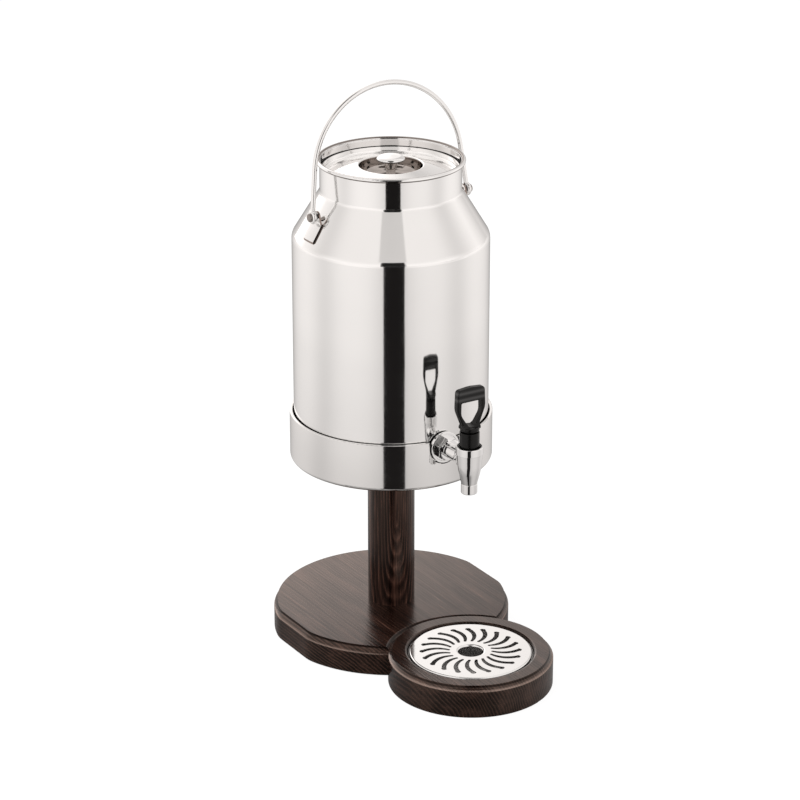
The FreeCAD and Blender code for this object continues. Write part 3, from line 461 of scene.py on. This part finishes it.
def wood(name, gloss, stain, heart=None, edge=None, front_shade=0.0):
    """Dark stained hardwood under a satin lacquer, with growth rings about a heart line.

    A board's heart lies along Y at the given X and Z, in metres; without one, it is the column. An edge is
    the height of a board's top and of the arris of its moulding: painted shade, a darker and duller band,
    lies just under the one, and a painted highlight, a lighter and shinier line, along the other. Front
    shade is painted shade and highlight: it takes shine off towards the front and adds it towards the
    back."""
    material, make, surface = new_material(name)
    coords = object_coords(make)
    part = make.parts(coords)
    if heart:
        figure, ring_share = board_figure(make, part, heart)
        grain, ring_step, drift_by = BOARD_GRAIN, BOARD_RING, BOARD_DRIFT
    else:
        figure, ring_share = column_figure(make, coords, part)
        grain, ring_step, drift_by = COLUMN_GRAIN, COLUMN_RING, COLUMN_DRIFT
    soft_grain = tuple(max(stretch, SOFT_STRETCH) for stretch in grain)

    drift = make.times(make.noise(coords, scale=26.0, detail=2.0, rough=0.5, stretch=soft_grain), drift_by)
    jag = make.times(make.noise(coords, scale=300.0, detail=2.0, rough=0.5, stretch=soft_grain), JAG_BY)
    ring = make.math("FRACT", make.math("DIVIDE", make.plus(figure, drift, jag), ring_step))
    rings = make.ramp(ring, [(place, grey(level)) for place, level in RING_TONES])
    fading = make.noise(coords, scale=90.0, detail=2.0, rough=0.5, stretch=soft_grain)
    strength = make.span(fading, low=0.36, high=0.62, to_low=0.25, to_high=1.0)
    lines = make.minus(1.0, make.times(make.minus(1.0, rings), strength))
    fibres = make.noise(coords, scale=380.0, detail=4.0, rough=0.62, stretch=grain)
    streaks = make.span(fibres, low=0.34, high=0.66, to_low=0.0, to_high=1.0)
    pores = make.noise(coords, scale=1500.0, detail=2.0, rough=0.5, stretch=grain)
    tone = make.plus(make.times(lines, ring_share), make.times(streaks, make.minus(1.0, ring_share)))

    colour = make.ramp(tone, [(place, toned(shade, stain)) for place, shade in WOOD_SHADES])
    pits = make.span(pores, low=0.32, high=0.46, to_low=0.35, to_high=1.0)
    colour = make.mix(1.0, colour, make.colour(pits, pits, pits), "MULTIPLY")
    # Painted shade and highlight: less shine towards the front, more towards the back
    shine = make.span(part["Y"], -FRONT_SHADE_HALF, FRONT_SHADE_HALF, 1.0 - front_shade, 1.0 + front_shade)
    if edge:
        top, arris = edge
        # Painted highlight: a lighter, shinier line along the arris
        arris_highlight = make.bell(part["Z"], arris, ARRIS_WIDTH)
        # Painted shade: a darker, duller band on the moulding just under the top edge
        cove_shade = make.band(part["Z"], top - COVE_SHADE_FROM, top - COVE_SHADE_TO, COVE_SHADE_SOFT)
        colour = make.mix(make.times(arris_highlight, ARRIS_COVER), colour, ARRIS_HIGHLIGHT)
        colour = make.mix(make.times(cove_shade, COVE_SHADE_COVER), colour, COVE_SHADE_COLOUR)
        shine = make.times(shine, make.plus(1.0, make.times(arris_highlight, ARRIS_SHINE)))
        shine = make.times(shine, make.minus(1.0, make.times(cove_shade, COVE_SHADE_DULL)))
    lacquer = make.span(tone, low=0.1, high=0.9, to_low=gloss * 0.72, to_high=gloss * 1.12)

    make.put(surface, "Base Color", colour)
    make.put(surface, "Roughness", make.span(streaks, low=0.0, high=1.0, to_low=0.25, to_high=0.15))
    make.put(surface, "Specular IOR Level", make.times(lacquer, shine))
    make.put(surface, "Specular Tint", WARM_SHINE)
    pitted = make.bump(pores, strength=0.12, distance=FINE_STEP)
    make.put(surface, "Normal", make.bump(tone, strength=0.25, distance=0.0004, normal=pitted))
    return material


def even(count):
    """Polishing marks that run in no direction."""
    return (count, count, count)


ALONG_X = (60.0, 700.0, 60.0)
CHROME = (0.860, 0.858, 0.856)
looks = {
    "can": steel("can_steel", (0.835, 0.833, 0.828), smooth=0.045, rough=0.105, shade_zones=CAN_PAINTED_SHADE),
    "cup": steel("cup_steel", (0.815, 0.810, 0.803), smooth=0.05, rough=0.11),
    "lid": steel("lid_steel", (0.950, 0.947, 0.941), smooth=0.06, rough=0.13, wave=0.02, lines=even(400.0),
                 shade_zones=LID_PAINTED_SHADE),
    "bar": steel("bar_steel", (0.820, 0.816, 0.810), smooth=0.06, rough=0.13, wave=0.0, lines=even(300.0)),
    # The strap's edge colour is painted shade.
    "strap": strap("strap_steel", (0.800, 0.795, 0.790), edge=(0.260, 0.205, 0.180)),
    "rivet": steel("rivet_steel", (0.260, 0.235, 0.220), smooth=0.16, rough=0.28, wave=0.0,
                   lines=even(500.0)),
    "grille": steel("grille_steel", (0.860, 0.857, 0.850), smooth=0.05, rough=0.11, wave=0.015,
                    lines=ALONG_X),
    "dish": steel("dish_steel", (0.420, 0.412, 0.405), smooth=0.20, rough=0.34, wave=0.015,
                  lines=ALONG_X),
    "chrome": steel("tap_chrome", CHROME, smooth=0.025, rough=0.06, wave=0.0, lines=even(200.0)),
    "knob": steel("knob_chrome", CHROME, smooth=0.03, rough=0.07, wave=0.0, lines=even(200.0),
                  shade_zones=KNOB_PAINTED_SHADE),
    "plain": steel("plain_steel", (0.560, 0.550, 0.540), smooth=0.24, rough=0.40, wave=0.0,
                   lines=even(500.0)),
    "black": plastic("tap_black", (0.0036, 0.0034, 0.0033), smooth=0.20, rough=0.30, gloss=0.22,
                     highlight_gloss=0.85),
    "rubber": rubber("seal_rubber", (0.012, 0.012, 0.012)),
    "base": wood("base_wood", gloss=0.90, stain=0.72, heart=(-0.190, -0.080), edge=(0.0322, 0.0247),
                 front_shade=0.60),
    "tray": wood("tray_wood", gloss=0.85, stain=0.50, heart=(-0.165, -0.045), edge=(0.0340, 0.0290)),
    "column": wood("column_wood", gloss=0.45, stain=1.35),
}
finish = {
    "base": ["base_board"],
    "tray": ["tray_board"],
    "column": ["column"],
    "can": ["can_shell", "can_bottom"],
    "cup": ["holder_cup"],
    "lid": ["lid_pan"],
    "bar": ["bail_handle"],
    "strap": ["bail_ear_left", "bail_ear_right"],
    "rivet": ["bail_pin_left", "bail_pin_right"],
    "grille": ["drip_grille"],
    "dish": ["drip_dish"],
    "chrome": ["tap_flange", "tap_shank", "tap_lock_nut", "tap_body"],
    "knob": ["lid_knob"],
    "black": ["tap_bonnet", "tap_lever"],
    "rubber": ["tap_outer_washer", "tap_inner_washer", "tap_seat_plug", "lid_seal"],
    "plain": ["joining_plate", "joining_screws", "column_tie_rod", "tie_rod_nuts", "tie_rod_washer",
              "cup_clamp_plate", "lid_knob_screw", "lid_knob_washer", "tap_spring", "tap_stem",
              "tap_lever_pin"],
}
for look, names in finish.items():
    for name in names:
        mesh = nodes[name].data
        mesh.materials.clear()
        mesh.materials.append(looks[look])


# Coil of the valve spring, shown in place of the hidden tap_spring part and carried with the can

def make_spring():
    low, high = SPRING_ENDS
    steps = SPRING_TURNS * TURN_STEPS
    points = []
    faces = [list(range(WIRE_SIDES))[::-1], [steps * WIRE_SIDES + side for side in range(WIRE_SIDES)]]
    for step in range(steps + 1):
        turn = math.tau * step / TURN_STEPS
        out = Vector((math.cos(turn), math.sin(turn), 0.0))
        middle = TAP_AXIS + out * SPRING_RADIUS + UP * (low + (high - low) * step / steps)
        for side in range(WIRE_SIDES):
            around = math.tau * side / WIRE_SIDES
            points.append(middle + (out * math.cos(around) + UP * math.sin(around)) * WIRE_RADIUS)
    for step in range(steps):
        for side in range(WIRE_SIDES):
            here = step * WIRE_SIDES
            ahead = (side + 1) % WIRE_SIDES
            faces.append([here + side, here + WIRE_SIDES + side, here + WIRE_SIDES + ahead, here + ahead])
    mesh = bpy.data.meshes.new("valve_spring")
    mesh.from_pydata([tuple(point) for point in points], [], faces)
    mesh.shade_smooth()
    mesh.materials.append(looks["plain"])
    coil = bpy.data.objects.new("valve_spring", mesh)
    bpy.context.scene.collection.objects.link(coil)
    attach(coil, "can")
    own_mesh(coil)
    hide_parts("tap_spring")


# Studio

def azimuth(make, direction):
    """Angle of a direction about Z, in degrees: 0 towards the camera, positive to its right."""
    right = make.vector("DOT_PRODUCT", direction, tuple(TO_RIGHT))
    near = make.vector("DOT_PRODUCT", direction, tuple(TO_CAMERA))
    return make.times(make.math("ARCTAN2", right, near), 180.0 / math.pi)


def patch_loss(make, angle, patch):
    middle, width, loss = patch
    return make.times(make.bell(angle, middle, width), loss)


def mirror_ray(make, path):
    return make.math("MAXIMUM", path["Is Glossy Ray"], path["Is Transmission Ray"])


def set_world():
    """White tent. Mirrors also show a dark strip with a grey window over it, and a dark ceiling."""
    world = bpy.data.worlds.new("studio")
    bpy.context.scene.world = world
    world.use_nodes = True
    make = Maker(world.node_tree)
    path = make.add("ShaderNodeLightPath").outputs
    direction = make.add("ShaderNodeTexCoord").outputs["Generated"]
    height = make.parts(direction)["Z"]
    angle = azimuth(make, direction)

    sides = patch_loss(make, make.math("ABSOLUTE", angle), (TENT_SIDES, SIDE_WIDTH, SIDE_LOSS))
    window = make.times(make.band(angle, *WINDOW_ANGLES, EDGE_SOFT),
                        make.band(height, *WINDOW_HEIGHTS, WINDOW_SOFT))
    level = make.minus(TENT_LEVEL, make.plus(sides, make.times(window, WINDOW_LOSS)))
    horizon = make.times(make.bell(height, HORIZON, HORIZON_WIDTH), HORIZON_GAIN)
    nearness = make.vector("DOT_PRODUCT", direction, tuple(TO_CAMERA))
    behind = make.span(nearness, BEHIND_FROM, BEHIND_FULL, 0.0, 1.0)
    aside = make.vector("DOT_PRODUCT", direction, tuple(TO_RIGHT))
    slope = make.times(behind, make.span(aside, -SLOPE_HALF, SLOPE_HALF, SLOPE_GAIN, -SLOPE_GAIN))
    backdrop = make.times(behind, make.band(height, *BACKDROP_HEIGHTS, BACKDROP_SOFT), BACKDROP_GAIN)
    level = make.plus(level, horizon, slope, backdrop)
    dark = make.times(make.band(angle, *DARK_ANGLES, EDGE_SOFT), make.span(height, *DARK_TOP, 1.0, 0.0))
    lit = make.minus(1.0, make.times(dark, DARK_LOSS))
    overhead = make.vector("DOT_PRODUCT", direction, CEILING_TOWARDS)
    ceiling = make.span(overhead, *CEILING_EDGE, 1.0, CEILING_LEFT)

    sky = make.span(height, 0.0, 1.0, WORLD_LOW, WORLD_HIGH)
    plain = make.add("ShaderNodeBackground", Color=LIGHT_TINT, Strength=sky)
    shiny = make.add("ShaderNodeBackground", Color=LIGHT_TINT, Strength=make.times(level, lit, ceiling))
    white = make.add("ShaderNodeBackground", Color=WHITE, Strength=1.0)
    light = make.blend(mirror_ray(make, path), plain, shiny)
    seen = make.blend(path["Is Camera Ray"], light, white)
    make.add("ShaderNodeOutputWorld", Surface=seen.outputs[0])


def flat_piece(name, corners):
    mesh = bpy.data.meshes.new(name)
    mesh.from_pydata([tuple(corner) for corner in corners], [], [list(range(len(corners)))])
    piece = bpy.data.objects.new(name, mesh)
    bpy.context.scene.collection.objects.link(piece)
    return piece


def make_floor():
    """Pale floor. Camera and mirror rays see it nearly white, with the object's shadow kept; mirror rays
    also see painted shade on it, darker near the object and in patches.
    """
    around = ((-1, -1), (1, -1), (1, 1), (-1, 1))
    floor = flat_piece("floor", [(x * FLOOR_HALF, y * FLOOR_HALF, FLOOR_Z) for x, y in around])
    material = bpy.data.materials.new("floor_paper")
    material.use_nodes = True
    make = Maker(material.node_tree)
    path = make.add("ShaderNodeLightPath").outputs
    place = object_coords(make)
    angle = azimuth(make, place)
    turned = make.math("ABSOLUTE", angle)

    far = make.math("DIVIDE", make.vector("LENGTH", place), FALLOFF_REACH)
    stops = [(reach / FALLOFF_REACH, grey(level)) for reach, level in FALLOFF]
    falloff = make.ramp(far, stops, "EASE")
    near_tray = make.span(far, *TRAY_PATCH_ENDS, 1.0, 0.0)
    dim = make.plus(patch_loss(make, turned, (FLOOR_SIDES, SIDE_WIDTH, SIDE_LOSS)),
                    patch_loss(make, angle, RIGHT_PATCH),
                    patch_loss(make, angle, FRONT_PATCH),
                    patch_loss(make, turned, BACK_PATCH),
                    make.times(patch_loss(make, angle, TRAY_PATCH), near_tray))
    shiny_level = make.times(make.minus(FLOOR_LEVEL, dim), falloff)

    fleck = make.noise(place, scale=180.0)
    tone = make.spread(fleck, FLOOR_TONE - FLOOR_FLECK, FLOOR_TONE + FLOOR_FLECK)
    paper = make.add("ShaderNodeBsdfDiffuse", Color=make.colour(tone, tone, tone))
    shade = make.add("ShaderNodeBsdfDiffuse", Color=grey(FLOOR_SHADE))
    tinted = make.colour(*(make.times(shiny_level, share) for share in LIGHT_TINT[:3]))
    glow_colour = make.mix(path["Is Camera Ray"], tinted, WHITE)
    glow = make.add("ShaderNodeEmission", Color=glow_colour, Strength=1.0 - FLOOR_SHADE * SHADE_LIT)
    seen = make.add("ShaderNodeAddShader")
    make.feed(seen.inputs[0], shade.outputs[0])
    make.feed(seen.inputs[1], glow.outputs[0])
    direct = make.math("MAXIMUM", path["Is Camera Ray"], mirror_ray(make, path))
    upper = make.blend(direct, paper, seen)
    below = make.add("ShaderNodeBsdfTransparent")
    both = make.blend(make.add("ShaderNodeNewGeometry").outputs["Backfacing"], upper, below)
    make.add("ShaderNodeOutputMaterial", Surface=both.outputs[0])
    floor.data.materials.append(material)


def heading(angle):
    turn = math.radians(angle)
    return TO_CAMERA * math.cos(turn) + TO_RIGHT * math.sin(turn)


def make_flag():
    """Black studio flag lying in front, seen only in mirrors: the dark band in the polished steel."""
    corners = []
    for angle, reaches in zip(FLAG_EDGES, ((FLAG_FROM, FLAG_TO), (FLAG_TO, FLAG_FROM))):
        start = heading(angle / 2) * CAN_RADIUS
        for reach in reaches:
            corners.append(start + heading(angle) * reach + UP * FLAG_LIFT)
    flag = flat_piece("flag", corners)
    material, make, surface = new_material("flag_cloth")
    weave = make.noise(object_coords(make), scale=400.0, detail=2.0)
    make.put(surface, "Base Color", make.mix(weave, *FLAG_CLOTH))
    make.put(surface, "Roughness", 1.0)
    make.put(surface, "Specular IOR Level", 0.0)
    flag.data.materials.append(material)
    flag.visible_camera = False
    flag.visible_diffuse = False
    flag.visible_shadow = False
    flag.visible_transmission = False


def add_lamp(name, place, size, power):
    light = bpy.data.lights.new(name, "AREA")
    light.shape = "DISK"
    light.size = size
    light.energy = power
    lamp = bpy.data.objects.new(name, light)
    lamp.location = place
    lamp.rotation_euler = (LAMP_TARGET - Vector(place)).to_track_quat("-Z", "Y").to_euler()
    lamp.visible_glossy = False
    bpy.context.scene.collection.objects.link(lamp)


def add_camera():
    data = bpy.data.cameras.new("camera")
    data.sensor_width = SENSOR
    data.lens = CAMERA_LENS
    data.clip_end = CAMERA_REACH
    camera = bpy.data.objects.new("camera", data)
    camera.location = CAMERA_PLACE
    camera.rotation_euler = [math.radians(turn) for turn in CAMERA_TURN]
    bpy.context.scene.collection.objects.link(camera)
    bpy.context.scene.camera = camera


make_spring()
set_world()
make_floor()
make_flag()
add_lamp("key", place=(-0.9, 0.5, 2.3), size=1.6, power=24.0)
add_lamp("fill", place=(1.5, -1.6, 1.8), size=1.8, power=7.0)
add_camera()
bpy.context.scene.view_settings.view_transform = "Standard"
